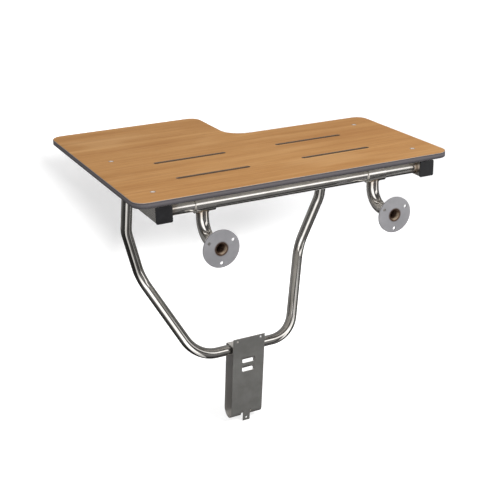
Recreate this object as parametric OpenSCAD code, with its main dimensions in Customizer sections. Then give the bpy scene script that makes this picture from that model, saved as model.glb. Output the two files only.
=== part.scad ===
// Folding transfer bench seat that hangs on a wall: an L-shaped seat board on two
// rails, hinged on a cross bar between two wall brackets, with a bent tube leg that
// swings below it and a sheet guide for the leg's cross tube.
// +X runs along the wall, +Y away from it into the room and +Z up. The origin is the
// centre of the left wall flange, on the wall. All lengths are in millimetres.

/* [Seat board] */
// Length of the board along the wall
seat_width = 715; // [640:1:800]
// Depth of the board's deep end, away from the wall
seat_depth = 548; // [500:1:640]
// Depth of the board's shallow end
shallow_depth = 356; // [350:1:400]
// Width of the deep end
deep_width = 365; // [330:1:400]
// Thickness of the board
seat_thick = 12.7; // [10:0.1:16]
// Radius of the outer corners
corner_r = 27; // [10:1:45]
// Radius of the inner corner of the L
inner_r = 50; // [20:1:80]
// Bevel along the edges of the board
edge_bevel = 1.2; // [0.5:0.1:2]

/* [Drain slots] */
// Length of a drain slot
slot_length = 164; // [120:1:180]
// Width of a drain slot
slot_width = 9.5; // [7:0.1:14]
// How far the slots sit to the left of the middle between the rails
slot_shift = 1.5; // [0:0.5:4]
// Distance between slot centres along the wall
slot_pitch_x = 287; // [260:1:320]
// Distance from the wall edge to the first row of slots
slot_first_y = 114; // [90:1:130]
// Distance between the two rows of slots
slot_pitch_y = 119; // [90:1:130]
// Bevel round the mouth of a slot
slot_bevel = 1; // [0.4:0.1:1.4]

/* [Rails and bars] */
// Outside size of the square rail tube
rail_size = 33; // [30:0.5:38]
// Wall of the square rail tube
rail_wall = 2; // [1.5:0.1:3]
// Outside corner radius of the rail tube
rail_corner_r = 3; // [2.5:0.1:4]
// Length of a rail
rail_length = 349; // [300:1:350]
// Distance from the board's wall edge to the rail's end cap
rail_setback = 2; // [1:0.5:4]
// Distance from the board's left edge to the middle of the left rail
rail_inset = 57; // [45:1:65]
// Distance from the board's right edge to the middle of the right rail
right_rail_inset = 58; // [45:1:65]
// Gap between board and rail, filled by the washers
rail_gap = 1.5; // [1:0.1:3]
// Outside diameter of the round tube of bars, elbows and leg
tube_d = 25.4; // [22:0.1:28]
// Wall of the round tube
tube_wall = 1.65; // [1.2:0.05:2.5]
// Distance from the board's wall edge to the hinge bar
bar_setback = 27; // [24:1:32]
// Distance from the room end of the rails back to the bar that carries the leg
leg_bar_inset = 23; // [22:1:50]

/* [End caps] */
// Thickness of a cap's outer plate
cap_plate = 3; // [2:0.1:4]
// How far the cap's plate stands out past the rail on each side
cap_lip = 0.5; // [0.2:0.1:1]
// Depth of the cap's plug inside the rail
cap_plug = 16; // [10:1:20]
// Wall of the hollow plug
cap_plug_wall = 2.2; // [1.5:0.1:3]
// Height of the gripping ribs round the plug
cap_rib = 0.5; // [0.3:0.1:0.8]
// Number of gripping ribs round the plug
cap_rib_count = 3; // [2:1:4]
// Thickness of one gripping rib
cap_rib_thick = 1; // [0.6:0.1:1.5]

/* [Seat screws] */
// Distance from the wall edge to the first pair of screws
screw_first_y = 57; // [50:1:65]
// Distance from the room end of the rails back to the second pair of screws
screw_last_inset = 58; // [50:1:70]
// Diameter of the screw's shank
screw_d = 6; // [5:0.5:7]
// Length of the screw, head included
screw_length = 30; // [26:1:32]
// Diameter of the countersunk head
head_d = 12; // [11:0.5:14]
// Width across the corners of the hexagon socket
socket_d = 4.6; // [4:0.1:5]
// Depth of the hexagon socket
socket_depth = 2.4; // [1.5:0.1:2.8]
// Outside diameter of the blind nut's barrel
nut_d = 9; // [8:0.1:10]
// Length of the blind nut's barrel
nut_length = 15; // [12:0.5:18]
// Diameter of the blind nut's flange
nut_flange_d = 13; // [11:0.5:14]
// Thickness of the blind nut's flange
nut_flange = 0.8; // [0.5:0.1:1]
// Outside diameter of the washer between board and rail
washer_d = 22; // [18:0.5:26]

/* [Wall brackets] */
// Distance from the wall to the board's wall edge
wall_gap = 58; // [50:1:64]
// Distance from the board's left edge to the left bracket
bracket_inset = 145.5; // [125:0.5:170]
// Distance between the two brackets
bracket_spacing = 392; // [380:1:420]
// Height of the hinge bar above the centres of the wall flanges
bracket_rise = 64.8; // [60:0.1:80]
// Bend radius of the elbow tube at its middle
elbow_r = 38.1; // [34:0.1:40]
// Diameter of the wall flange
flange_d = 76; // [70:0.5:84]
// Thickness of the wall flange
flange_thick = 3; // [2:0.1:5]
// Diameter of the circle of bolt holes
bolt_circle_d = 58; // [52:0.5:60]
// Diameter of a bolt hole
bolt_hole_d = 7; // [6:0.1:8]
// Number of bolt holes in a flange
bolt_count = 3; // [3:1:4]
// Length of the hinge sleeve on top of a bracket
sleeve_length = 42; // [36:1:52]
// Shift of the hinge sleeve along the bar from the middle of its elbow
sleeve_shift = 3; // [0:0.5:5]
// Outside diameter of the hinge sleeve
sleeve_d = 32; // [31:0.1:34]
// Wall of the hinge sleeve
sleeve_wall = 1.7; // [1.2:0.1:1.9]

/* [Support leg] */
// Length of the sleeves at the top of the leg
leg_sleeve_length = 64; // [50:1:80]
// How far each side of the leg comes in at its upper bend
leg_knee_in = 39; // [20:1:60]
// Half the distance between the leg's lower bends
leg_foot_half = 123; // [110:1:140]
// Height from the leg's bar down to its upper bends
leg_first_drop = 160; // [130:1:190]
// Height from the upper bends down to the middle bends
leg_second_drop = 133; // [110:1:160]
// Height from the middle bends down to the cross tube
leg_third_drop = 180; // [160:1:200]
// How far the leg returns towards the wall below its middle bends
leg_return = 114; // [90:1:130]
// Lean of the leg's upper part away from the wall, in degrees
leg_lean = 14.4; // [8:0.1:20]
// Bend radius of the leg at the middle of the tube
leg_bend_r = 75; // [60:1:80]

/* [Wall guide] */
// Width of the guide
guide_width = 82.5; // [70:0.5:90]
// Depth of the guide's loop, over the sheet
guide_depth = 39.4; // [36:0.1:44]
// Thickness of the guide's sheet
guide_sheet = 2; // [1.5:0.1:3]
// Height of the guide's wall plate above the cross tube
guide_head = 40; // [36:0.5:45]
// Height from the cross tube down to the bottom of the loop
guide_drop = 192; // [180:0.5:220]
// Lean of the hanging guide's foot away from the wall, in degrees
guide_lean = 6.5; // [3:0.1:9]
// Slope of the loop's top, down towards the room, in degrees
guide_slope = 9; // [0:0.5:12]
// Outside radius of the fold at the top of the loop
guide_fold_r = 5; // [3.2:0.1:7]
// Diameter of the guide's screw holes
guide_hole_d = 5.5; // [4.5:0.1:6]
// Distance from the guide's sides to its two upper screw holes
guide_hole_inset = 11; // [9:0.1:14]
// Distance from the top of the wall plate to its two upper screw holes
guide_hole_drop = 7.6; // [7:0.1:10]
// Width of a window
window_width = 33; // [28:0.5:40]
// How far the room plate's windows sit to the right of the wall plate's
room_window_shift = 16; // [0:0.5:20]
// Height of one window
window_height = 17; // [10:0.1:18]
// Corner radius of a window
window_r = 5; // [2:0.1:5]
// Distance between the middles of the two windows in a plate
window_pitch = 24.5; // [20:0.1:28]
// Height from the cross tube down to the wall plate's upper window
window_drop = 23; // [22:0.5:30]
// How much lower the windows of the room plate are
window_offset = 33; // [26:0.5:40]
// Width of the screw tab at the foot of the guide
tab_width = 18.5; // [12:0.1:20]
// Length of the screw tab below the start of the loop's bend
tab_length = 27.7; // [24:0.1:30]
// Width of the relief cut on each side of the tab
tab_relief = 5; // [2:0.1:6]
// Distance from the end of the tab to its screw hole
tab_hole_rise = 8; // [7:0.1:10]

/* [Hidden] */

$fn = 64;

// How far a tube's straight lengths reach into its bends
seam_lap = 0.5;
// How much thicker a bend is than a straight length, on each face of its wall
bend_swell = 0.12;
// How far a sloped edge ends inside the round that it runs into
seam_hair = 0.02;
// Reach of a cutter past the surface that it cuts
over = 1;
// Radial gap of a bar that turns in its bush
run_gap = 0.06;
// Gap of two pieces that stay together
seat_gap = 0.04;
// Side gap between a leg sleeve and the rail beside it
side_gap = 0.5;
// Gap between the guide and the cross tube that carries it
hang_gap = 0.3;
// Gap round the plug of a cap
plug_gap = 0.15;
// Gap round a screw in the board
hole_gap = 0.3;
// Slope of a countersunk head, head radius to head height
head_slope_share = 1;
// Length of a bush as a share of its sleeve
bush_share = 0.94;

tube_r = tube_d / 2;
tube_bore_r = tube_r - tube_wall;
sleeve_r = sleeve_d / 2;
sleeve_bore_r = sleeve_r - sleeve_wall;

// Heights
bar_z = bracket_rise;
rail_top_z = bar_z + rail_size / 2;
seat_bottom_z = rail_top_z + rail_gap;
seat_top_z = seat_bottom_z + seat_thick;

// Places along the wall
seat_x = -bracket_inset;
left_rail_x = seat_x + rail_inset;
right_rail_x = seat_x + seat_width - right_rail_inset;
rail_spacing = right_rail_x - left_rail_x;
middle_x = (left_rail_x + right_rail_x) / 2;
bracket_x = [0, bracket_spacing];

// Places away from the wall
seat_y = wall_gap;
bar_y = seat_y + bar_setback;
rail_y = seat_y + rail_setback + cap_plate;
rail_end_y = seat_y + rail_setback + rail_length;
leg_bar_y = rail_end_y - leg_bar_inset;
screw_y = [seat_y + screw_first_y, rail_end_y - screw_last_inset];

// The centre line of the leg, one side of it, from the bar to the cross tube
leg_half_top = rail_spacing / 2 - rail_size / 2 - side_gap - leg_sleeve_length / 2;
leg_knee_half = leg_half_top - leg_knee_in;
leg_bend_1 = [leg_half_top, leg_bar_y + leg_first_drop * tan(leg_lean), bar_z - leg_first_drop];
leg_bend_2 = [
    leg_knee_half,
    leg_bend_1.y + leg_second_drop * tan(leg_lean),
    leg_bend_1.z - leg_second_drop
];
leg_bend_3 = [leg_foot_half, leg_bend_2.y - leg_return, leg_bend_2.z - leg_third_drop];
cross_y = leg_bend_3.y;
cross_z = leg_bend_3.z;

function flip(p) = [-p.x, p.y, p.z];
leg_side = [[leg_half_top, leg_bar_y, bar_z], leg_bend_1, leg_bend_2, leg_bend_3];
leg_path = concat(leg_side, [for (i = [len(leg_side) - 1:-1:0]) flip(leg_side[i])]);

// The guide, measured from the centre of the cross tube
guide_half = guide_depth / 2;
guide_bend_z = guide_half - guide_drop;
// How far the cross tube lies from the loop's middle, close to the room plate
guide_shift = guide_half - guide_sheet - tube_r - hang_gap;
// Height of the loop's sloped top above the cross tube, at the loop's middle
guide_top_z = (tube_r + hang_gap + guide_sheet) / cos(guide_slope) + guide_shift * tan(guide_slope);
// Centre of the fold between the sloped top and the room plate
fold_y = guide_half - guide_fold_r;
fold_z = guide_top_z - fold_y * tan(guide_slope) - guide_fold_r / cos(guide_slope);

// Unit vector along v
function unit(v) = v / norm(v);
// Angle through which a path turns at its point i
function turn(path, i) = acos(unit(path[i] - path[i - 1]) * unit(path[i + 1] - path[i]));
// Length that a bend takes from the straight run on each side of it
function cut(path, i, bend_r) =
    i == 0 || i == len(path) - 1 ? 0 : bend_r * tan(turn(path, i) / 2);
// Cross-section of the round tube, its wall thickened on both faces by a swell
module tube_section(swell) {
    difference() {
        circle(r = tube_r + swell);
        circle(r = tube_bore_r - swell);
    }
}

// The straight length of a tube from a to b
module tube_run(a, b) {
    v = b - a;
    translate(a)
        rotate([0, acos(v.z / norm(v)), atan2(v.y, v.x)])
            linear_extrude(height = norm(v)) tube_section(0);
}

// The bend of a tube at point i of a path
module tube_bend(path, i, bend_r) {
    along = unit(path[i] - path[i - 1]);
    axis = unit(cross(along, path[i + 1] - path[i]));
    inward = cross(axis, along);
    centre = path[i] - along * cut(path, i, bend_r) + inward * bend_r;
    multmatrix([
        [-inward.x, along.x, axis.x, centre.x],
        [-inward.y, along.y, axis.y, centre.y],
        [-inward.z, along.z, axis.z, centre.z]
    ])
        rotate_extrude(angle = turn(path, i)) translate([bend_r, 0]) tube_section(bend_swell);
}

// A tube bent along a path and open at both ends. The bends are a little thicker, and
// take in the ends of the straight lengths, which reach a little way into their wall.
module bent_tube(path, bend_r) {
    last = len(path) - 1;
    for (i = [0:last - 1]) {
        along = unit(path[i + 1] - path[i]);
        start_cut = i == 0 ? 0 : cut(path, i, bend_r) - seam_lap;
        end_cut = i + 1 == last ? 0 : cut(path, i + 1, bend_r) - seam_lap;
        tube_run(path[i] + along * start_cut, path[i + 1] - along * end_cut);
    }
    for (i = [1:last - 1]) tube_bend(path, i, bend_r);
}

// A round bar along X between two places
module x_rod(x0, x1, r) {
    translate([x0, 0, 0]) rotate([0, 90, 0]) cylinder(h = x1 - x0, r = r);
}

// A round ring along X, centred on x
module x_ring(x, length, r_out, r_in) {
    difference() {
        x_rod(x - length / 2, x + length / 2, r_out);
        x_rod(x - length / 2 - over, x + length / 2 + over, r_in);
    }
}

// A rectangle with round corners, its low corner at the origin
module round_rectangle(size, r) {
    translate([r, 0]) square([size.x - 2 * r, size.y]);
    translate([0, r]) square([size.x, size.y - 2 * r]);
    for (x = [r, size.x - r])
        for (y = [r, size.y - r])
            translate([x, y]) circle(r = r);
}

// A slot with round ends along X, centred on the origin
module slot_outline(length, width) {
    square([length - width, width], center = true);
    for (side = [-1, 1]) translate([side * (length - width) / 2, 0]) circle(r = width / 2);
}

// The L-shaped outline of the board, its corner at the origin
module seat_outline() {
    round_rectangle([seat_width, shallow_depth], corner_r);
    round_rectangle([deep_width, seat_depth], corner_r);
    translate([deep_width, shallow_depth])
        difference() {
            translate([-over, -over]) square(inner_r + over);
            translate([inner_r, inner_r]) circle(r = inner_r);
        }
}

// Profile that a bevel takes off an edge: the edge is at the origin, with the solid
// on the side of negative x and below
module bevel_profile(b) {
    polygon([[-b - over, over], [over, over], [over, -b - over]]);
}

// Bevel cutter along a straight edge from a to b, with the solid on its left
module straight_bevel(a, b, size) {
    v = b - a;
    translate([a.x, a.y, 0])
        rotate([0, 0, atan2(v.y, v.x)])
            rotate([90, 0, 90])
                linear_extrude(height = norm(v)) mirror([1, 0]) bevel_profile(size);
}

// Bevel cutter along an arc; the solid is inside the arc, or outside a hollow one
module arc_bevel(centre, r, from, sweep, size, hollow = false) {
    translate([centre.x, centre.y, 0])
        rotate([0, 0, from])
            rotate_extrude(angle = sweep)
                translate([r, 0]) mirror([hollow ? 1 : 0, 0]) bevel_profile(size);
}

// Bevel cutters round the L-shaped outline, for a face at height zero
module outline_bevel() {
    c = corner_r;
    w = seat_width;
    d = seat_depth;
    s = shallow_depth;
    e = deep_width;
    straight_bevel([c, 0], [w - c, 0], edge_bevel);
    straight_bevel([w, c], [w, s - c], edge_bevel);
    straight_bevel([w - c, s], [e + inner_r, s], edge_bevel);
    straight_bevel([e, s + inner_r], [e, d - c], edge_bevel);
    straight_bevel([e - c, d], [c, d], edge_bevel);
    straight_bevel([0, d - c], [0, c], edge_bevel);
    arc_bevel([c, c], c, 180, 90, edge_bevel);
    arc_bevel([w - c, c], c, 270, 90, edge_bevel);
    arc_bevel([w - c, s - c], c, 0, 90, edge_bevel);
    arc_bevel([e - c, d - c], c, 0, 90, edge_bevel);
    arc_bevel([c, d - c], c, 90, 90, edge_bevel);
    arc_bevel([e + inner_r, s + inner_r], inner_r, 180, 90, edge_bevel, hollow = true);
}

// Bevel cutters round a slot's mouth, for a face at height zero
module slot_rim_bevel() {
    end = (slot_length - slot_width) / 2;
    side = slot_width / 2;
    straight_bevel([end, -side], [-end, -side], slot_bevel);
    straight_bevel([-end, side], [end, side], slot_bevel);
    arc_bevel([end, 0], side, -90, 180, slot_bevel, hollow = true);
    arc_bevel([-end, 0], side, 90, 180, slot_bevel, hollow = true);
}

// Puts its children at the centre of each drain slot
module at_slots() {
    for (x = [-1, 1])
        for (row = [0, 1])
            translate([
                middle_x - slot_shift + x * slot_pitch_x / 2,
                seat_y + slot_first_y + row * slot_pitch_y,
                0
            ]) children();
}

// Puts its children at each seat screw
module at_screws() {
    for (x = [left_rail_x, right_rail_x])
        for (y = screw_y)
            translate([x, y, 0]) children();
}

// The cone of a countersunk head, its face at height zero, grown by a gap
module head_cone(gap) {
    r = head_d / 2 + gap;
    translate([0, 0, -r * head_slope_share]) cylinder(h = r * head_slope_share, r1 = 0, r2 = r);
}

module seat_panel() {
    color("peru")
        difference() {
            translate([seat_x, seat_y, seat_bottom_z])
                linear_extrude(height = seat_thick) seat_outline();
            translate([seat_x, seat_y, seat_top_z]) outline_bevel();
            translate([seat_x, seat_y, seat_bottom_z]) mirror([0, 0, 1]) outline_bevel();
            translate([0, 0, seat_bottom_z - over])
                at_slots()
                    linear_extrude(height = seat_thick + 2 * over)
                        slot_outline(slot_length, slot_width);
            translate([0, 0, seat_top_z]) at_slots() slot_rim_bevel();
            at_screws() {
                translate([0, 0, seat_bottom_z - over])
                    cylinder(h = seat_thick + 2 * over, r = screw_d / 2 + hole_gap);
                translate([0, 0, seat_top_z]) head_cone(seat_gap);
                translate([0, 0, seat_top_z - seat_gap])
                    cylinder(h = over, r = head_d / 2 + seat_gap);
            }
        }
}

// A square rail tube along Y with the holes for its blind nuts
module rail(x) {
    bore = rail_size - 2 * rail_wall;
    color("silver")
        difference() {
            translate([x + rail_size / 2, rail_y, bar_z - rail_size / 2])
                rotate([90, 0, 180])
                    linear_extrude(height = rail_length - 2 * cap_plate)
                        difference() {
                            round_rectangle([rail_size, rail_size], rail_corner_r);
                            translate([rail_wall, rail_wall])
                                round_rectangle([bore, bore], rail_corner_r - rail_wall);
                        }
            at_screws()
                translate([0, 0, rail_top_z - rail_wall - over])
                    cylinder(h = rail_wall + 2 * over, r = nut_d / 2 + seat_gap);
        }
}

module left_rail() {
    rail(left_rail_x);
}

module right_rail() {
    rail(right_rail_x);
}

// A plastic plug with a square plate, for the wall end of a rail at the origin
module end_cap() {
    plate = rail_size + 2 * cap_lip;
    grip = rail_size - 2 * rail_wall - 2 * plug_gap;
    plug = grip - 2 * cap_rib;
    hollow = plug - 2 * cap_plug_wall;
    rib_step = cap_plug / (cap_rib_count + 1);
    corner = rail_corner_r - rail_wall;
    color("dimgray")
        rotate([90, 0, 0])
            difference() {
                union() {
                    translate([-plate / 2, -plate / 2, 0])
                        linear_extrude(height = cap_plate)
                            round_rectangle([plate, plate], rail_corner_r);
                    translate([-plug / 2, -plug / 2, -cap_plug])
                        linear_extrude(height = cap_plug)
                            round_rectangle([plug, plug], corner);
                    for (i = [1:cap_rib_count])
                        translate([-grip / 2, -grip / 2, -i * rib_step])
                            linear_extrude(height = cap_rib_thick)
                                round_rectangle([grip, grip], corner);
                }
                translate([-hollow / 2, -hollow / 2, -cap_plug - over])
                    cube([hollow, hollow, cap_plug + over]);
            }
}

// A cap at the wall end or the room end of a rail
module rail_cap(x, room_end) {
    if (room_end)
        translate([x, rail_end_y - cap_plate, bar_z]) mirror([0, 1, 0]) end_cap();
    else
        translate([x, rail_y, bar_z]) end_cap();
}

module left_wall_cap() {
    rail_cap(left_rail_x, false);
}

module right_wall_cap() {
    rail_cap(right_rail_x, false);
}

module left_room_cap() {
    rail_cap(left_rail_x, true);
}

module right_room_cap() {
    rail_cap(right_rail_x, true);
}

// A round tube along X, welded between the rails
module rail_bar(y) {
    from = left_rail_x + rail_size / 2;
    to = right_rail_x - rail_size / 2;
    color("silver")
        translate([0, y, bar_z])
            difference() {
                x_rod(from, to, tube_r);
                x_rod(from - over, to + over, tube_bore_r);
            }
}

module hinge_bar() {
    rail_bar(bar_y);
}

module leg_bar() {
    rail_bar(leg_bar_y);
}

module seat_screws() {
    color("gainsboro")
        translate([0, 0, seat_top_z])
            at_screws()
                difference() {
                    union() {
                        head_cone(0);
                        translate([0, 0, -screw_length]) cylinder(h = screw_length, r = screw_d / 2);
                    }
                    translate([0, 0, -socket_depth])
                        cylinder(h = socket_depth + over, r = socket_d / 2, $fn = 6);
                }
}

module seat_washers() {
    color("gray")
        translate([0, 0, rail_top_z])
            at_screws()
                difference() {
                    cylinder(h = rail_gap, r = washer_d / 2);
                    translate([0, 0, -over])
                        cylinder(h = rail_gap + 2 * over, r = nut_flange_d / 2 + hole_gap);
                }
}

module blind_nuts() {
    color("darkgray")
        translate([0, 0, rail_top_z])
            at_screws()
                difference() {
                    union() {
                        cylinder(h = nut_flange, r = nut_flange_d / 2);
                        translate([0, 0, -nut_length]) cylinder(h = nut_length, r = nut_d / 2);
                    }
                    translate([0, 0, -nut_length - over])
                        cylinder(h = nut_length + nut_flange + 2 * over, r = screw_d / 2 + seat_gap);
                }
}

// A round flange that lies on the wall at y = 0
module wall_flange(x) {
    color("lightgray")
        translate([x, flange_thick, 0])
            rotate([90, 0, 0])
                difference() {
                    cylinder(h = flange_thick, r = flange_d / 2);
                    translate([0, 0, -over])
                        cylinder(h = flange_thick + 2 * over, r = tube_r + seat_gap);
                    for (i = [0:bolt_count - 1])
                        rotate([0, 0, 360 * i / bolt_count - 90])
                            translate([bolt_circle_d / 2, 0, -over])
                                cylinder(h = flange_thick + 2 * over, r = bolt_hole_d / 2);
                }
}

module left_wall_flange() {
    wall_flange(bracket_x[0]);
}

module right_wall_flange() {
    wall_flange(bracket_x[1]);
}

// The bent tube of a bracket, from inside its flange up to its hinge sleeve
module elbow(x) {
    path = [[x, seat_gap, 0], [x, bar_y, 0], [x, bar_y, bar_z]];
    color("silver")
        difference() {
            bent_tube(path, elbow_r);
            translate([0, bar_y, bar_z])
                x_rod(x - tube_d, x + tube_d, sleeve_r + seat_gap);
        }
}

module left_elbow() {
    elbow(bracket_x[0]);
}

module right_elbow() {
    elbow(bracket_x[1]);
}

// A steel sleeve round a bar
module bar_sleeve(x, y, length) {
    color("silver")
        translate([0, y, bar_z]) x_ring(x, length, sleeve_r, sleeve_bore_r);
}

// A plastic bush between a sleeve and its bar
module bar_bush(x, y, length) {
    color("whitesmoke")
        translate([0, y, bar_z])
            x_ring(x, length * bush_share, sleeve_bore_r - seat_gap, tube_r + run_gap);
}

module left_hinge_sleeve() {
    bar_sleeve(bracket_x[0] + sleeve_shift, bar_y, sleeve_length);
}

module right_hinge_sleeve() {
    bar_sleeve(bracket_x[1] + sleeve_shift, bar_y, sleeve_length);
}

module left_hinge_bush() {
    bar_bush(bracket_x[0] + sleeve_shift, bar_y, sleeve_length);
}

module right_hinge_bush() {
    bar_bush(bracket_x[1] + sleeve_shift, bar_y, sleeve_length);
}

module support_leg() {
    color("silver")
        difference() {
            translate([middle_x, 0, 0]) bent_tube(leg_path, leg_bend_r);
            for (side = [-1, 1])
                translate([middle_x + side * leg_half_top, leg_bar_y, bar_z])
                    x_rod(-leg_sleeve_length / 2, leg_sleeve_length / 2, sleeve_r + seat_gap);
        }
}

module left_leg_sleeve() {
    bar_sleeve(middle_x - leg_half_top, leg_bar_y, leg_sleeve_length);
}

module right_leg_sleeve() {
    bar_sleeve(middle_x + leg_half_top, leg_bar_y, leg_sleeve_length);
}

module left_leg_bush() {
    bar_bush(middle_x - leg_half_top, leg_bar_y, leg_sleeve_length);
}

module right_leg_bush() {
    bar_bush(middle_x + leg_half_top, leg_bar_y, leg_sleeve_length);
}

// Side view of the guide's closed loop, shrunk by an inset on every side
module loop_outline(inset) {
    half = guide_half - inset;
    r = guide_fold_r - inset;
    reach = r - seam_hair;
    rise = half * tan(guide_slope) - inset / cos(guide_slope);
    translate([0, guide_bend_z]) circle(r = half);
    polygon([
        [-half, guide_bend_z],
        [fold_y, guide_bend_z],
        [fold_y + reach * sin(guide_slope), fold_z + reach * cos(guide_slope)],
        [-half, guide_top_z + rise]
    ]);
    polygon([[fold_y, guide_bend_z], [half, guide_bend_z], [half, fold_z], [fold_y, fold_z]]);
    translate([fold_y, fold_z]) circle(r = r);
}

// Side view of the guide's folded sheet
module guide_profile() {
    difference() {
        loop_outline(0);
        loop_outline(guide_sheet);
    }
    translate([-guide_half, guide_bend_z]) square([guide_sheet, guide_head - guide_bend_z]);
}

// Side view of the screw tab, which stays in line with the wall plate
module tab_profile() {
    translate([-guide_half, guide_bend_z - tab_length]) square([guide_sheet, tab_length + guide_sheet]);
}

// Extrudes a side view along X over a width, centred on the guide
module across(width) {
    translate([-width / 2, 0, 0]) rotate([90, 0, 90]) linear_extrude(height = width) children();
}

// A hole along Y through the plate whose outer face is at y
module plate_hole(x, y, z) {
    translate([x, y - over, z])
        rotate([-90, 0, 0]) cylinder(h = guide_sheet + 2 * over, r = guide_hole_d / 2);
}

// The pair of windows centred on x in the plate whose low face is at y
module window_pair(x, y, z) {
    for (row = [0, 1])
        translate([x - window_width / 2, y - over, z - row * window_pitch + window_height / 2])
            rotate([-90, 0, 0])
                linear_extrude(height = guide_sheet + 2 * over)
                    round_rectangle([window_width, window_height], window_r);
}

// The opening that the tab and its relief cuts leave in the loop's bend
module tab_window() {
    width = tab_width + 2 * tab_relief;
    translate([-width / 2, -guide_half - over, guide_bend_z - guide_half])
        cube([width, guide_half + over, guide_half]);
}

module guide_bracket() {
    hole_x = guide_width / 2 - guide_hole_inset;
    color("darkgray")
        translate([middle_x, cross_y, cross_z])
            rotate([guide_lean, 0, 0])
                translate([0, -guide_shift, 0])
                difference() {
                    union() {
                        difference() {
                            across(guide_width) guide_profile();
                            tab_window();
                        }
                        across(tab_width) tab_profile();
                    }
                    for (side = [-1, 1])
                        plate_hole(side * hole_x, -guide_half, guide_head - guide_hole_drop);
                    plate_hole(0, -guide_half, guide_bend_z - tab_length + tab_hole_rise);
                    window_pair(0, -guide_half, -window_drop);
                    window_pair(room_window_shift, guide_half - guide_sheet, -window_drop - window_offset);
                }
}

seat_panel();
left_rail();
right_rail();
left_wall_cap();
right_wall_cap();
left_room_cap();
right_room_cap();
hinge_bar();
leg_bar();
seat_screws();
seat_washers();
blind_nuts();
left_wall_flange();
right_wall_flange();
left_elbow();
right_elbow();
left_hinge_sleeve();
right_hinge_sleeve();
left_hinge_bush();
right_hinge_bush();
support_leg();
left_leg_sleeve();
right_leg_sleeve();
left_leg_bush();
right_leg_bush();
guide_bracket();
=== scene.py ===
# Folding bath transfer bench: the imported solids dressed with laminate, satin stainless
# tube, sheet, weld beads and plastic, under plain studio light. Light and shade are painted
# on the guide, the elbows' bores, the board's bevel and the screw heads, and the seat's
# shadow is painted on the wall.
import math

import bmesh
import bpy
from mathutils import Matrix, Vector


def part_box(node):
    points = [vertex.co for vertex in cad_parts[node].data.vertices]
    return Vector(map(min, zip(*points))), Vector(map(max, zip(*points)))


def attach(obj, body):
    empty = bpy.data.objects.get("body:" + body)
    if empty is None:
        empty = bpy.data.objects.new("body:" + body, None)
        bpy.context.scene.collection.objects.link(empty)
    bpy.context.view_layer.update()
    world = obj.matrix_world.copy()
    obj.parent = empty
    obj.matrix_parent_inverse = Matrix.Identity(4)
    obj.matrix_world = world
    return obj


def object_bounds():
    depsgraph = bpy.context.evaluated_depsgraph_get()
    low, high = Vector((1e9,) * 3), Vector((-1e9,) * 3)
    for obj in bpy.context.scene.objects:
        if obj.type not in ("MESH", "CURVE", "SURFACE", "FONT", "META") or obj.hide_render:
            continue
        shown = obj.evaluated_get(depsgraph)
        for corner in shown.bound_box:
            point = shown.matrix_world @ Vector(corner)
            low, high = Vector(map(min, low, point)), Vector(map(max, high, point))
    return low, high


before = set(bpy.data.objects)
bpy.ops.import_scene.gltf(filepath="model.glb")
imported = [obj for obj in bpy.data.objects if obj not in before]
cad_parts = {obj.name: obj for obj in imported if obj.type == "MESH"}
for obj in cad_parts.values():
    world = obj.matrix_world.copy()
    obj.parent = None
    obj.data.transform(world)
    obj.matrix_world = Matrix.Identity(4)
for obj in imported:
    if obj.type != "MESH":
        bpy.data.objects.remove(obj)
cad_low, cad_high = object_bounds()

MM = 0.001


def metres(value):
    """A spot in metres from one in millimetres."""
    return tuple(v * MM for v in value)


def middle(name):
    """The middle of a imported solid, in millimetres."""
    low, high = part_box(name)
    return (low + high) * (0.5 / MM)


def radius(name):
    """The radius of a tube that lies along X, in millimetres."""
    low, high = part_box(name)
    return (high.z - low.z) * (0.5 / MM)


# Places on the bench in millimetres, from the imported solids
TUBE, SLEEVE = radius("hinge_bar"), radius("left_hinge_sleeve")
LEFT_BRACKET, RIGHT_BRACKET = middle("left_elbow").x, middle("right_elbow").x
FLANGE_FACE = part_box("left_wall_flange")[1].y / MM
HINGE_Y, LEG_Y, AXLE_Z = middle("hinge_bar").y, middle("leg_bar").y, middle("hinge_bar").z
RAIL_FACES = (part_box("left_rail")[1].x / MM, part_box("right_rail")[0].x / MM)
LEG_TOPS = (middle("left_leg_sleeve").x, middle("right_leg_sleeve").x)

# What the solids' boxes don't tell, in millimetres and degrees
SLOTS_X, SLOTS_Y, SLOTS_SOFT = (-20.0, 440.0), (160.0, 303.0), 2.0
LAMINATE_BEVEL = 1.2
SCREW_HEAD = 6.0
LEG_SLOPE = (0.0, 41.1, -160.0)
CROSS_TUBE = (347.2, -408.2)
GUIDE_LEAN = 6.5

# Corners of the board and of its four screws, in metres
SEAT_LOW, SEAT_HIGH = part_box("seat_panel")
SCREW_LOW, SCREW_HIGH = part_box("seat_screws")

# The camera that fits the photograph: degrees, metres, and pixels of a square picture
VIEW_TURN, VIEW_RISE, VIEW_ROLL = -26.302, 21.340, -1.107
VIEW_PLACE = (-0.7637, -1.6663, 0.7126)
VIEW_FOCUS, PICTURE = 1039.2, 500.0
SENSOR = 36.0


# Shader sockets and nodes

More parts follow.
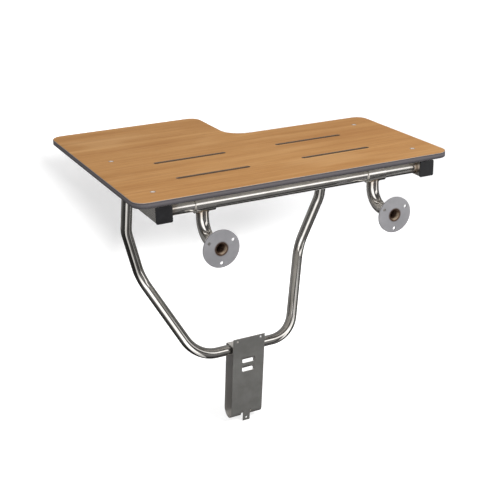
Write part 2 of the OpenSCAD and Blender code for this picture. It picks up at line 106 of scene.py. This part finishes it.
class Sock:
    """A node socket that adds Math nodes when it takes part in a sum."""

    def __init__(self, paint, socket):
        self.paint = paint
        self.socket = socket

    def math(self, operation, other=None, swap=False):
        pair = [self, other] if other is not None else [self]
        if swap:
            pair.reverse()
        return self.paint.node("ShaderNodeMath", {"operation": operation}, *pair)

    def __add__(self, other):
        return self.math("ADD", other)

    def __radd__(self, other):
        return self.math("ADD", other, True)

    def __sub__(self, other):
        return self.math("SUBTRACT", other)

    def __rsub__(self, other):
        return self.math("SUBTRACT", other, True)

    def __mul__(self, other):
        return self.math("MULTIPLY", other)

    def __rmul__(self, other):
        return self.math("MULTIPLY", other, True)

    def __truediv__(self, other):
        return self.math("DIVIDE", other)

    def __rtruediv__(self, other):
        return self.math("DIVIDE", other, True)

    def __pow__(self, other):
        return self.math("POWER", other)

    def __rpow__(self, other):
        return self.math("POWER", other, True)

    def __abs__(self):
        return self.math("ABSOLUTE")

    def low(self, other):
        return self.math("MINIMUM", other)

    def high(self, other):
        return self.math("MAXIMUM", other)

    def root(self):
        return self.math("SQRT")

    def fade(self, start, end, to_low=0.0, to_high=1.0):
        """Runs smoothly from to_low at start to to_high at end."""
        return self.paint.node(
            "ShaderNodeMapRange", {"interpolation_type": "SMOOTHSTEP"},
            self, start, end, to_low, to_high)


class Paint:
    """The nodes of one material, or of the world."""

    def __init__(self, owner):
        self.owner = owner
        owner.use_nodes = True
        self.tree = owner.node_tree
        self.tree.nodes.clear()

    def node(self, kind, settings=None, *values, out=0, **named):
        """Adds a node: its settings first, then its sockets by order or by name."""
        made = self.tree.nodes.new(kind)
        for key, value in (settings or {}).items():
            if key == "stops":
                ramp = made.color_ramp
                while len(ramp.elements) < len(value):
                    ramp.elements.new(1.0)
                for element, (place, colour) in zip(ramp.elements, value):
                    element.position = place
                    element.color = (*colour, 1.0)
            else:
                setattr(made, key, value)
        sockets = [s for s in made.inputs if s.enabled]
        fill = list(zip(sockets, values))
        for key, value in named.items():
            wanted = key.replace("_", " ")
            fill.append((next(s for s in sockets if s.name == wanted), value))
        for socket, value in fill:
            if isinstance(value, Sock):
                self.tree.links.new(value.socket, socket)
            elif isinstance(value, tuple) and len(value) == 3 and socket.type == "RGBA":
                socket.default_value = (*value, 1.0)
            else:
                socket.default_value = value
        if isinstance(out, tuple):
            return [Sock(self, made.outputs[name]) for name in out]
        if isinstance(out, str):
            return Sock(self, made.outputs[out])
        outputs = [s for s in made.outputs if s.enabled]
        return Sock(self, outputs[out]) if outputs else None

    def place(self):
        """The point on the piece in its own frame, in metres."""
        return self.node("ShaderNodeTexCoord", out="Object")

    def facing(self):
        """The way the surface faces, in the piece's own frame."""
        return self.node("ShaderNodeTexCoord", out="Normal")

    def axes(self, vector):
        return self.node("ShaderNodeSeparateXYZ", None, vector, out=("X", "Y", "Z"))

    def join(self, x, y, z):
        return self.node("ShaderNodeCombineXYZ", None, x, y, z)

    def stretch(self, vector, scale):
        return self.node("ShaderNodeVectorMath", {"operation": "MULTIPLY"}, vector, scale)

    def gap(self, vector, spot):
        """How far a point is from a spot."""
        return self.node("ShaderNodeVectorMath", {"operation": "DISTANCE"}, vector, spot,
                         out="Value")

    def noise(self, vector, scale, detail=3.0, rough=0.5, warp=0.0):
        return self.node("ShaderNodeTexNoise", None, Vector=vector, Scale=scale,
                         Detail=detail, Roughness=rough, Distortion=warp)

    def mix(self, factor, first, second):
        """Mixes two colours."""
        return self.node("ShaderNodeMix", {"data_type": "RGBA", "clamp_factor": True},
                         factor, first, second)

    def ramp(self, value, *stops):
        return self.node("ShaderNodeValToRGB", {"stops": stops}, value)

    def bump(self, height, strength, distance):
        return self.node("ShaderNodeBump", None, Strength=strength, Distance=distance,
                         Height=height)

    def cover(self, shader, end="ShaderNodeOutputMaterial"):
        """Puts a shader on the surface."""
        self.node(end, None, Surface=shader)
        return self.owner

    def surface(self, **named):
        """The finished surface; constants go straight on its sockets."""
        return self.cover(self.node("ShaderNodeBsdfPrincipled", None, **named))


def material(name):
    return Paint(bpy.data.materials.new(name))


def tone(red, green, blue):
    """A colour given as the eight-bit values of a screen."""
    def linear(value):
        value /= 255.0
        return value / 12.92 if value <= 0.04045 else ((value + 0.055) / 1.055) ** 2.4
    return tuple(linear(v) for v in (red, green, blue))


def band(value, span, soft):
    """One inside a span in millimetres and nought outside it, with soft ends."""
    start, end = span
    return (value.fade((start - soft) * MM, (start + soft) * MM)
            * value.fade((end + soft) * MM, (end - soft) * MM))


# Finishes

def woodgrain_laminate():
    """Woodgrain faces over a dark core, with a painted highlight along the bevelled edge."""
    p = material("woodgrain_laminate")
    place = p.place()
    x, y, z = p.axes(place)
    drift = p.noise(p.stretch(place, (1.6, 7.0, 1.0)), 1.0, 2.0, 0.5)
    grain_place = p.join(x, y + (drift - 0.5) * 0.016, z)
    broad = p.noise(p.stretch(grain_place, (2.2, 34.0, 1.0)), 1.0, 3.0, 0.55, 0.25)
    streak = p.noise(p.stretch(grain_place, (5.0, 150.0, 1.0)), 1.0, 4.0, 0.6, 0.2)
    pores = p.noise(p.stretch(grain_place, (22.0, 620.0, 1.0)), 1.0, 2.0, 0.6)
    wood = p.ramp(broad, (0.25, tone(178, 125, 69)), (0.45, tone(192, 139, 82)),
                  (0.6, tone(199, 147, 89)), (0.78, tone(212, 162, 104)))
    wood = p.mix(streak.fade(0.42, 0.7) * 0.42, wood, tone(173, 121, 70))
    wood = p.mix(streak.fade(0.5, 0.3) * 0.3, wood, tone(214, 167, 114))
    wood = p.mix(pores.fade(0.6, 0.72) * 0.5, wood, tone(150, 102, 58))
    fleck = p.noise(p.stretch(grain_place, (60.0, 900.0, 1.0)), 1.0, 1.0, 0.5)
    wood = p.mix(fleck.fade(0.66, 0.74) * 0.3, wood, tone(220, 176, 124))
    patch = p.noise(p.stretch(grain_place, (3.2, 11.0, 1.0)), 1.0, 2.0, 0.5, 0.4)
    wood = p.mix(patch.fade(0.52, 0.72) * 0.4, wood, tone(176, 120, 66))
    wood = p.mix(patch.fade(0.46, 0.3) * 0.35, wood, tone(218, 172, 118))
    core_speck = p.noise(place, 900.0, 2.0, 0.6)
    core_line = p.noise(p.stretch(place, (3.0, 3.0, 700.0)), 1.0, 2.0, 0.5)
    top = SEAT_HIGH.z
    bottom = SEAT_LOW.z
    bevel = LAMINATE_BEVEL * MM
    rise = (z - bottom) * (1.0 / (top - bottom))
    # The edge's grey is darkest at the bottom, palest a little above the middle and darker again
    # near the top.
    core = p.ramp(rise, (0.0, tone(47, 45, 48)), (0.1, tone(57, 55, 58)),
                  (0.22, tone(74, 71, 74)), (0.36, tone(88, 85, 88)),
                  (0.56, tone(108, 104, 107)), (0.7, tone(96, 92, 95)),
                  (0.84, tone(82, 78, 80)))
    core = p.mix(core_speck.fade(0.35, 0.7) * 0.25, core, tone(112, 108, 112))
    core = p.mix(core_line.fade(0.55, 0.7) * 0.3, core, tone(66, 64, 67))
    # Painted highlight: a light band along the bevel at the top edge, mostly left out over the
    # slots.
    painted_bevel_highlight = z.fade(top - bevel * 0.95, top - bevel * 0.8)
    slots = band(x, SLOTS_X, SLOTS_SOFT) * band(y, SLOTS_Y, SLOTS_SOFT)
    face = z.fade(top - bevel * 0.5, top - bevel * 0.35)
    mouth = z.fade(top - bevel * 0.1, top - bevel * 0.04)
    wood_face = face * (1.0 - slots) + mouth * slots
    backing = z.fade(bottom + bevel * 0.2, bottom + bevel * 0.1)
    core = p.mix(slots, core, p.mix(core_speck.fade(0.3, 0.7), tone(84, 70, 58),
                                    tone(104, 88, 74)))
    edge = p.mix(painted_bevel_highlight * (1.0 - slots * 0.85), core, tone(168, 164, 160))
    weave = p.noise(place, 240.0, 3.0, 0.6)
    plain_back = p.mix(weave.fade(0.35, 0.65), tone(206, 202, 196), tone(192, 188, 182))
    colour = p.mix(wood_face, p.mix(backing, edge, plain_back), wood)
    scuff = p.noise(p.stretch(place, (40.0, 40.0, 40.0)), 1.0, 3.0, 0.6)
    rough = 0.42 + scuff * 0.14 + (1.0 - wood_face) * 0.1
    height = pores * 0.6 + streak * 0.4 + core_speck * (1.0 - wood_face) * 0.6
    normal = p.bump(height, 0.08, 0.0004)
    return p.surface(Base_Color=colour, Roughness=rough, Normal=normal,
                     Specular_IOR_Level=0.22)


def from_nearer(x, centres):
    """How far a point lies to the right of the nearer of two centres, in metres."""
    left, right = centres
    half = (left + right) * 0.5
    return x - left - x.fade(half - MM, half + MM) * (right - left)


def bore_scale_and_painted_light(p, place, colour, rough, centres):
    """Welding scale inside the elbows' open ends, with a painted light side in each bore and
    painted light and shade on the cut ends: gives colour, metal and roughness.
    """
    x, y, z = p.axes(place)
    left, right = (((x - centre) ** 2.0 + z * z).root() for centre in centres)
    inside = left.low(right).fade((TUBE - 0.8) * MM, (TUBE - 1.2) * MM)
    inside = inside * y.fade(52.0 * MM, 46.0 * MM)
    crust = p.noise(place, 420.0, 4.0, 0.7)
    scale = p.ramp(crust, (0.34, tone(74, 54, 44)), (0.5, tone(104, 80, 66)),
                   (0.64, tone(158, 132, 112)))
    # Painted light: a paler side inside each bore, near its open end, towards the lower right.
    corner = from_nearer(x, centres) * 0.7 - z * 0.7
    painted_lit_side = corner.fade(4.5 * MM, 9.0 * MM) * y.fade(12.0 * MM, 5.0 * MM)
    colour = p.mix(inside, colour, p.mix(painted_lit_side, scale, tone(214, 194, 170)))
    # Painted light and shade on the cut ends: darker towards the upper left, paler towards the
    # lower right.
    cut_end = y.fade(0.5 * MM, 0.2 * MM)
    painted_end_light = p.mix(corner.fade(2.0 * MM, 10.0 * MM), tone(84, 64, 52), tone(128, 104, 86))
    colour = p.mix(cut_end, colour, painted_end_light)
    metal = inside.fade(0.0, 1.0, 1.0, 0.25)
    return colour, metal, rough.high(inside * 0.5).high(cut_end * 0.4)


def satin_tube(name, base, dark, rough_low, rough_high, along, heat_marks=(), open_ends=()):
    """Stainless steel polished along its length, with smudges and heat marks by the welds; with
    open ends, welding scale and painted light in the bores.
    """
    p = material(name)
    place = p.place()
    hair = p.noise(p.stretch(place, along), 90.0, 2.0, 0.6)
    smudge = p.noise(place, 24.0, 3.0, 0.55)
    colour = p.mix(smudge.fade(0.35, 0.7), base, dark)
    colour = p.mix(hair.fade(0.5, 0.75) * 0.25, colour, dark)
    for spot, reach, shade, amount in heat_marks:
        ring = p.gap(place, spot).fade(reach, reach * 0.45) * amount
        colour = p.mix(ring * (0.7 + smudge * 0.5), colour, shade)
    rough = hair.fade(0.2, 0.8, rough_low, rough_high)
    metal = 1.0
    if open_ends:
        colour, metal, rough = bore_scale_and_painted_light(p, place, colour, rough, open_ends)
    normal = p.bump(hair, 0.03, 0.0002)
    return p.surface(Base_Color=colour, Metallic=metal, Roughness=rough, Normal=normal)


def painted_loop_light(p, place, colour, cloud, tube):
    """Painted light on the guide: paler steel inside its loop, and a painted sheen on its faces
    that look up.
    """
    away, high = metres(tube)
    lean = math.radians(GUIDE_LEAN)
    x, y, z = p.axes(place)
    depth = (y - away) * math.cos(lean) + (z - high) * math.sin(lean)
    # Painted light: the steel inside the loop is made paler.
    painted_inner_light = depth.fade(-20.0 * MM, -10.0 * MM)
    colour = p.mix(painted_inner_light * (0.4 + cloud * 0.5), colour, tone(176, 172, 170))
    # Painted sheen on the faces that look up.
    upward = p.axes(p.facing())[2]
    return p.mix(upward.fade(0.2, 0.8) * (0.7 + cloud * 0.6), colour, tone(244, 240, 234))


def sheet_steel(name, light, dark, rough, across, spots=(), hung_on=None):
    """Brushed sheet: fine lines one way, cloudy patches and darker spots; when hung on a tube,
    painted light inside its loop and on its faces that look up.
    """
    p = material(name)
    place = p.place()
    lines = p.noise(p.stretch(place, across), 1.0, 3.0, 0.65)
    cloud = p.noise(place, 18.0, 3.0, 0.6)
    colour = p.mix(cloud.fade(0.3, 0.7), light, dark)
    colour = p.mix(lines.fade(0.45, 0.75) * 0.35, colour, dark)
    for spot, near, far, shade, amount in spots:
        reach = p.gap(place, spot).fade(far, near)
        colour = p.mix(reach * amount * (0.6 + cloud * 0.7), colour, shade)
    if hung_on:
        colour = painted_loop_light(p, place, colour, cloud, hung_on)
    roughness = rough + (lines - 0.5) * 0.14 + (cloud - 0.5) * 0.1
    normal = p.bump(lines, 0.06, 0.0002)
    return p.surface(Base_Color=colour, Metallic=0.5, Roughness=roughness, Normal=normal)


def moulded_black():
    """Moulded black plastic with a fine spark-eroded grain."""
    p = material("moulded_black_plastic")
    place = p.place()
    grain = p.noise(place, 1400.0, 2.0, 0.6)
    patch = p.noise(place, 60.0, 2.0, 0.5)
    colour = p.mix(patch.fade(0.3, 0.7), tone(30, 30, 32), tone(38, 38, 40))
    rough = patch.fade(0.3, 0.7, 0.38, 0.5)
    return p.surface(Base_Color=colour, Roughness=rough, Normal=p.bump(grain, 0.1, 0.0001),
                     Specular_IOR_Level=0.4)


def nylon():
    """Natural nylon with a waxy, slightly uneven skin."""
    p = material("natural_nylon")
    place = p.place()
    flow = p.noise(place, 160.0, 3.0, 0.5)
    colour = p.mix(flow.fade(0.3, 0.7), tone(222, 219, 208), tone(208, 204, 191))
    return p.surface(Base_Color=colour, Roughness=flow.fade(0.3, 0.7, 0.36, 0.48),
                     Normal=p.bump(flow, 0.04, 0.0002), Subsurface_Weight=0.08)


def bright_fastener():
    """Bright stainless screws with turned rings, and a painted shade round the rim of each head.
    """
    p = material("bright_fastener")
    place = p.place()
    turned = p.noise(p.stretch(place, (900.0, 900.0, 2600.0)), 1.0, 2.0, 0.6)
    colour = p.mix(turned.fade(0.35, 0.65), tone(252, 246, 240), tone(226, 214, 206))
    head = SCREW_HEAD * MM
    centres = [(x, y, SCREW_HIGH.z) for x in (SCREW_LOW.x + head, SCREW_HIGH.x - head)
               for y in (SCREW_LOW.y + head, SCREW_HIGH.y - head)]
    reach = p.gap(place, centres[0])
    for centre in centres[1:]:
        reach = reach.low(p.gap(place, centre))
    # Painted shade: a brown rim round each head, so only its middle shows bright.
    painted_rim_shade = reach.fade(0.0034, 0.0044) * (0.65 + turned * 0.4)
    colour = p.mix(painted_rim_shade, colour, tone(150, 116, 84))
    return p.surface(Base_Color=colour, Metallic=0.2, Roughness=turned.fade(0.3, 0.7, 0.26, 0.4),
                     Normal=p.bump(turned, 0.06, 0.0001))


def weld_metal():
    """Tungsten-welded bead: straw to brown heat tint over bright metal."""
    p = material("weld_metal")
    place = p.place()
    heat = p.noise(place, 260.0, 3.0, 0.6)
    colour = p.ramp(heat, (0.3, tone(120, 102, 84)), (0.5, tone(164, 148, 128)),
                    (0.7, tone(104, 92, 84)))
    return p.surface(Base_Color=colour, Metallic=0.9, Roughness=heat.fade(0.3, 0.7, 0.28, 0.45),
                     Normal=p.bump(heat, 0.1, 0.0002))


straw, bronze = tone(150, 122, 92), tone(112, 86, 66)
bar_tint = [(metres((x, y, AXLE_Z)), 0.026, straw, 0.4)
            for x in RAIL_FACES for y in (HINGE_Y, LEG_Y)]
elbow_tint = [(metres((x, 3.0, 0.0)), 0.024, bronze, 0.6)
              for x in (LEFT_BRACKET, RIGHT_BRACKET)]
elbow_tint += [(metres((x, HINGE_Y, AXLE_Z - 12.0)), 0.022, straw, 0.5)
               for x in (LEFT_BRACKET, RIGHT_BRACKET)]
leg_tint = [(metres((x, LEG_Y, AXLE_Z - 10.0)), 0.028, straw, 0.7) for x in LEG_TOPS]

steel, steel_shade = tone(230, 228, 225), tone(208, 205, 201)
laminate = woodgrain_laminate()
rail_steel = satin_tube("satin_rail", tone(206, 203, 199), tone(184, 181, 177), 0.24, 0.36,
                        (14.0, 0.4, 14.0), bar_tint)
bar_steel = satin_tube("polished_bar", steel, steel_shade, 0.08, 0.15, (0.5, 9.0, 9.0), bar_tint)
elbow_steel = satin_tube("polished_elbow", steel, steel_shade, 0.06, 0.12, (9.0, 2.0, 2.0),
                         elbow_tint, (LEFT_BRACKET * MM, RIGHT_BRACKET * MM))
leg_steel = satin_tube("polished_leg", steel, steel_shade, 0.06, 0.12, (7.0, 2.0, 1.2), leg_tint)
flange_spots = [(metres((x, 0.0, 0.0)), 0.0128, 0.0162, tone(88, 66, 52), 0.95)
                for x in (LEFT_BRACKET, RIGHT_BRACKET)]
flange_steel = sheet_steel("flange_plate", tone(180, 179, 183), tone(164, 163, 167), 0.42,
                           (60.0, 60.0, 60.0), flange_spots)
guide_steel = sheet_steel("guide_sheet", tone(146, 145, 142), tone(130, 129, 126), 0.4,
                          (900.0, 8.0, 8.0), hung_on=CROSS_TUBE)
black = moulded_black()
white_nylon = nylon()
fastener = bright_fastener()
weld = weld_metal()

finishes = {
    "seat_panel": laminate,
    "left_rail": rail_steel, "right_rail": rail_steel,
    "hinge_bar": bar_steel, "leg_bar": bar_steel,
    "left_hinge_sleeve": bar_steel, "right_hinge_sleeve": bar_steel,
    "left_leg_sleeve": bar_steel, "right_leg_sleeve": bar_steel,
    "left_elbow": elbow_steel, "right_elbow": elbow_steel,
    "support_leg": leg_steel,
    "left_wall_flange": flange_steel, "right_wall_flange": flange_steel,
    "guide_bracket": guide_steel,
    "left_wall_cap": black, "right_wall_cap": black,
    "left_room_cap": black, "right_room_cap": black,
    "left_hinge_bush": white_nylon, "right_hinge_bush": white_nylon,
    "left_leg_bush": white_nylon, "right_leg_bush": white_nylon,
    "seat_washers": white_nylon,
    "seat_screws": fastener, "blind_nuts": fastener,
}
for node_name, node_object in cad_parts.items():
    slots = node_object.data.materials
    slots.clear()
    slots.append(finishes[node_name])


# Weld beads, each with its radius in millimetres and its number of ripples

FLANGE_BEAD, SLEEVE_BEAD, BAR_BEAD = (1.1, 36), (1.3, 32), (1.5, 30)


def weld_bead(name, points, bead, body, inward):
    """A closed bead of overlapping ripples laid along the points, in millimetres."""
    thickness, ripples = bead
    mesh = bpy.data.meshes.new(name)
    build = bmesh.new()
    count, sides = len(points), 10
    rings = []
    for i, point in enumerate(points):
        ahead, behind = points[(i + 1) % count], points[i - 1]
        along = (ahead - behind).normalized()
        out = (inward - point)
        out = (out - along * out.dot(along)).normalized()
        side = along.cross(out)
        beat = (i * ripples / count) % 1.0
        radius = thickness * (0.86 + 0.2 * math.sin(math.pi * beat) ** 0.6)
        ring = []
        for k in range(sides):
            angle = math.tau * k / sides
            spot = point + (out * math.cos(angle) + side * math.sin(angle)) * radius
            ring.append(build.verts.new(spot * MM))
        rings.append(ring)
    for i in range(count):
        here, there = rings[i], rings[(i + 1) % count]
        for k in range(sides):
            face = build.faces.new((here[k], here[(k + 1) % sides],
                                    there[(k + 1) % sides], there[k]))
            face.smooth = True
    bmesh.ops.recalc_face_normals(build, faces=build.faces)
    build.to_mesh(mesh)
    build.free()
    piece = bpy.data.objects.new(name, mesh)
    bpy.context.scene.collection.objects.link(piece)
    mesh.materials.append(weld)
    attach(piece, body)


def around(count=168):
    return [math.tau * i / count for i in range(count)]


def saddle(top, front, down):
    """The seam where a tube meets a sleeve along X from below."""
    return [top + Vector((TUBE * math.cos(a), 0.0, 0.0)) + front * (TUBE * math.sin(a))
            + down * math.sqrt(SLEEVE ** 2 - (TUBE * math.sin(a)) ** 2)
            for a in around()]


ROOMWARD, DOWN = Vector((0.0, 1.0, 0.0)), Vector((0.0, 0.0, -1.0))
for side_name, x in (("left", LEFT_BRACKET), ("right", RIGHT_BRACKET)):
    seam_y = FLANGE_FACE + 0.2
    ring = [Vector((x + TUBE * math.cos(a), seam_y, TUBE * math.sin(a))) for a in around()]
    weld_bead(side_name + "_flange_weld", ring, FLANGE_BEAD, "wall_brackets",
              Vector((x, FLANGE_FACE + 0.4, 0.0)))
    top = Vector((x, HINGE_Y, AXLE_Z))
    weld_bead(side_name + "_sleeve_weld", saddle(top, ROOMWARD, DOWN), SLEEVE_BEAD,
              "wall_brackets", top)

for side_name, x in (("left", RAIL_FACES[0]), ("right", RAIL_FACES[1])):
    for bar_name, y in (("hinge", HINGE_Y), ("leg", LEG_Y)):
        ring = [Vector((x, y + TUBE * math.cos(a), AXLE_Z + TUBE * math.sin(a)))
                for a in around()]
        weld_bead(side_name + "_" + bar_name + "_bar_weld", ring, BAR_BEAD, "seat",
                  Vector((x, y, AXLE_Z)))

leg_down = Vector(LEG_SLOPE).normalized()
leg_front = Vector((0.0, -leg_down.z, leg_down.y))
for side_name, x in (("left", LEG_TOPS[0]), ("right", LEG_TOPS[1])):
    top = Vector((x, LEG_Y, AXLE_Z))
    weld_bead(side_name + "_leg_weld", saddle(top, leg_front, leg_down), SLEEVE_BEAD, "leg", top)


# Floor, wall, lights and camera

PALE = (0.8, 0.8, 0.8)
STUDIO_REACH = 30.0
WALL_Y = 660.0

# The seat's shadow painted on the wall as a lower glow: its limits in metres, and its glow
SHADE_CORNER, SHADE_SLANT = (-0.131, 0.0755), (-0.84, -0.543)
SHADE_FOOT, SHADE_FALL = -0.17, 0.08
SHADE_TOP, THIN_FROM, THINNING = 0.005, -0.1, 0.3
SHADE_END, SHADE_SOFT = 1.0, 0.13
PAINTED_SHADOW_GLOW = (0.235, 0.235, 0.24)


def seen_rays(p):
    """One for the eye, for reflections and for what is seen through; nought for light."""
    eye, mirror, through = p.node("ShaderNodeLightPath", out=(
        "Is Camera Ray", "Is Glossy Ray", "Is Transmission Ray"))
    return eye.high(mirror).high(through)


def white_wall():
    """A pale wall seen from the front only, glowing more away from the seat's shadow, which is
    painted on it as a lower glow.
    """
    p = material("white_wall")
    plain = p.node("ShaderNodeBsdfDiffuse", None, PALE)
    x, y, z = p.axes(p.place())
    # Painted shadow: inside these limits the wall glows less.
    left = (x - SHADE_CORNER[0]) * SHADE_SLANT[0] + (z - SHADE_CORNER[1]) * SHADE_SLANT[1]
    below = SHADE_FOOT - z - x * SHADE_FALL
    above = ((z - THIN_FROM) * THINNING).high(z - SHADE_TOP)
    away = left.high(below).high(above).high(x - SHADE_END).fade(0.0, SHADE_SOFT)
    pale = p.mix(away, PAINTED_SHADOW_GLOW, PALE)
    glow = p.node("ShaderNodeEmission", None, pale, 1.0)
    front = p.node("ShaderNodeAddShader", None, plain, glow)
    behind = p.node("ShaderNodeNewGeometry", out="Backfacing")
    return p.cover(p.node("ShaderNodeMixShader", None, behind, front,
                          p.node("ShaderNodeBsdfTransparent")))


def white_floor():
    """Matt and pale, with enough glow for the eye to read it as white."""
    p = material("white_floor")
    plain = p.node("ShaderNodeBsdfDiffuse", None, PALE)
    glow = p.node("ShaderNodeEmission", None, Strength=0.62)
    both = p.node("ShaderNodeAddShader", None, plain, glow)
    return p.cover(p.node("ShaderNodeMixShader", None, seen_rays(p), plain, both))


def studio_sheet(name, surface, stand=None):
    """A large flat sheet of the studio, lying or turned by a matrix."""
    mesh = bpy.data.meshes.new(name)
    build = bmesh.new()
    bmesh.ops.create_grid(build, x_segments=24, y_segments=24, size=STUDIO_REACH)
    if stand:
        bmesh.ops.transform(build, verts=build.verts, matrix=stand)
    build.to_mesh(mesh)
    build.free()
    piece = bpy.data.objects.new(name, mesh)
    bpy.context.scene.collection.objects.link(piece)
    mesh.materials.append(surface)
    piece.visible_glossy = False
    return piece


floor = studio_sheet("floor", white_floor())
floor.location = (0.0, 0.0, cad_low.z - 0.002)
wall_place = Matrix.Translation((0.0, WALL_Y * MM, 0.0))
wall = studio_sheet("wall", white_wall(),
                    wall_place @ Matrix.Rotation(math.radians(90.0), 4, "X"))
wall.visible_diffuse = False
wall.visible_transmission = False
wall.visible_shadow = False


def reflection_tent():
    """The light tent round the bench, which only its metal sees: white strips in grey cloth."""
    mesh = bpy.data.meshes.new("light_tent")
    build = bmesh.new()
    bmesh.ops.create_uvsphere(build, u_segments=48, v_segments=24, radius=9.0)
    for face in build.faces:
        face.smooth = True
    build.to_mesh(mesh)
    build.free()
    tent = bpy.data.objects.new("light_tent", mesh)
    bpy.context.scene.collection.objects.link(tent)
    tent.location = (0.21, 0.25, 0.0)
    p = material("tent_cloth")
    x, y, z = p.axes(p.node("ShaderNodeVectorMath", {"operation": "NORMALIZE"}, p.place()))
    compass = p.node("ShaderNodeMath", {"operation": "ARCTAN2"}, x, y * -1.0)
    compass = compass - math.radians(VIEW_TURN)
    compass = p.node("ShaderNodeMath", {"operation": "WRAP"}, compass, math.pi, -math.pi)
    compass = compass * (180.0 / math.pi)
    height = p.node("ShaderNodeMath", {"operation": "ARCSINE"}, z) * (180.0 / math.pi)

    def strip(left, right, soft, low, high):
        wide = compass.fade(left - soft, left + soft) * compass.fade(right + soft, right - soft)
        return wide * height.fade(low - 8.0, low + 8.0) * height.fade(high + 8.0, high - 8.0)

    lift = height.fade(-55.0, -8.0)
    light = 0.02 + lift * 0.07
    behind = compass.high(compass * -1.0)
    light = light.high(behind.fade(134.0, 148.0) * height.fade(-30.0, -10.0) * 0.24)
    light = light.high(behind.fade(160.0, 168.0) * height.fade(-66.0, -50.0)
                       * height.fade(0.0, -12.0) * 0.9)
    # Each strip's turn from and to, soft edge, heights, light, and what the lift adds
    strips = (
        (-175.0, -90.0, 10.0, -24.0, 80.0, 0.24, 0.0),
        (-46.0, -20.0, 6.0, -24.0, 60.0, 0.26, 0.0),
        (-28.0, 14.0, 5.0, -90.0, 76.0, 0.75, 0.95),
        (8.0, 60.0, 7.0, -66.0, 4.0, 0.1, 0.13),
        (62.0, 84.0, 4.0, -2.0, 18.0, 1.7, 0.0),
        (70.0, 84.0, 4.0, -34.0, 4.0, 1.7, 0.0),
        (74.0, 98.0, 8.0, -66.0, -30.0, 0.26, 0.0),
        (44.0, 66.0, 5.0, 10.0, 34.0, 1.6, 0.0),
        (92.0, 142.0, 8.0, -26.0, 60.0, 0.15, 0.0))
    for *reach, glow, more in strips:
        light = light.high(strip(*reach) * (glow + lift * more if more else glow))
    light = light.high(height.fade(60.0, 84.0) * 0.3)
    warm = p.node("ShaderNodeVectorMath", {"operation": "SCALE"}, (1.0, 0.988, 0.97), Scale=light)
    mesh.materials.append(p.cover(p.node("ShaderNodeEmission", None, warm, 1.0)))
    tent.visible_camera = False
    tent.visible_diffuse = False
    tent.visible_shadow = False
    tent.visible_transmission = False


reflection_tent()


def soft_lamp(name, place, aim, size, power):
    """A round lamp that no reflection shows."""
    data = bpy.data.lights.new(name, "AREA")
    data.shape = "DISK"
    data.size = size
    data.energy = power
    lamp = bpy.data.objects.new(name, data)
    bpy.context.scene.collection.objects.link(lamp)
    lamp.location = place
    lamp.visible_glossy = False
    lamp.rotation_euler = (Vector(aim) - Vector(place)).to_track_quat("-Z", "Y").to_euler()


soft_lamp("key_lamp", (1.5, -1.9, 2.5), (0.2, 0.25, -0.05), 1.5, 84.0)
soft_lamp("fill_lamp", (-1.9, -1.7, 0.9), (0.2, 0.25, -0.1), 1.4, 14.0)

world = bpy.data.worlds.new("studio")
bpy.context.scene.world = world
sky = Paint(world)
room = sky.node("ShaderNodeBackground", None, Strength=0.62)
white = sky.node("ShaderNodeBackground", None, (1.0, 1.0, 1.0), 1.0)
sky.cover(sky.node("ShaderNodeMixShader", None, seen_rays(sky), room, white),
          "ShaderNodeOutputWorld")

turn, rise, roll = map(math.radians, (VIEW_TURN, VIEW_RISE, VIEW_ROLL))
back = Vector((math.sin(turn) * math.cos(rise), -math.cos(turn) * math.cos(rise), math.sin(rise)))
level = (-back).cross(Vector((0.0, 0.0, 1.0))).normalized()
upright = level.cross(-back)
across = level * math.cos(roll) + upright * math.sin(roll)
over = upright * math.cos(roll) - level * math.sin(roll)
lens = bpy.data.cameras.new("camera")
lens.sensor_width = SENSOR
lens.lens = SENSOR * VIEW_FOCUS / PICTURE
camera = bpy.data.objects.new("camera", lens)
bpy.context.scene.collection.objects.link(camera)
camera.matrix_world = Matrix((
    (across.x, over.x, back.x, VIEW_PLACE[0]),
    (across.y, over.y, back.y, VIEW_PLACE[1]),
    (across.z, over.z, back.z, VIEW_PLACE[2]),
    (0.0, 0.0, 0.0, 1.0)))
bpy.context.scene.camera = camera
bpy.context.scene.view_settings.view_transform = "Standard"
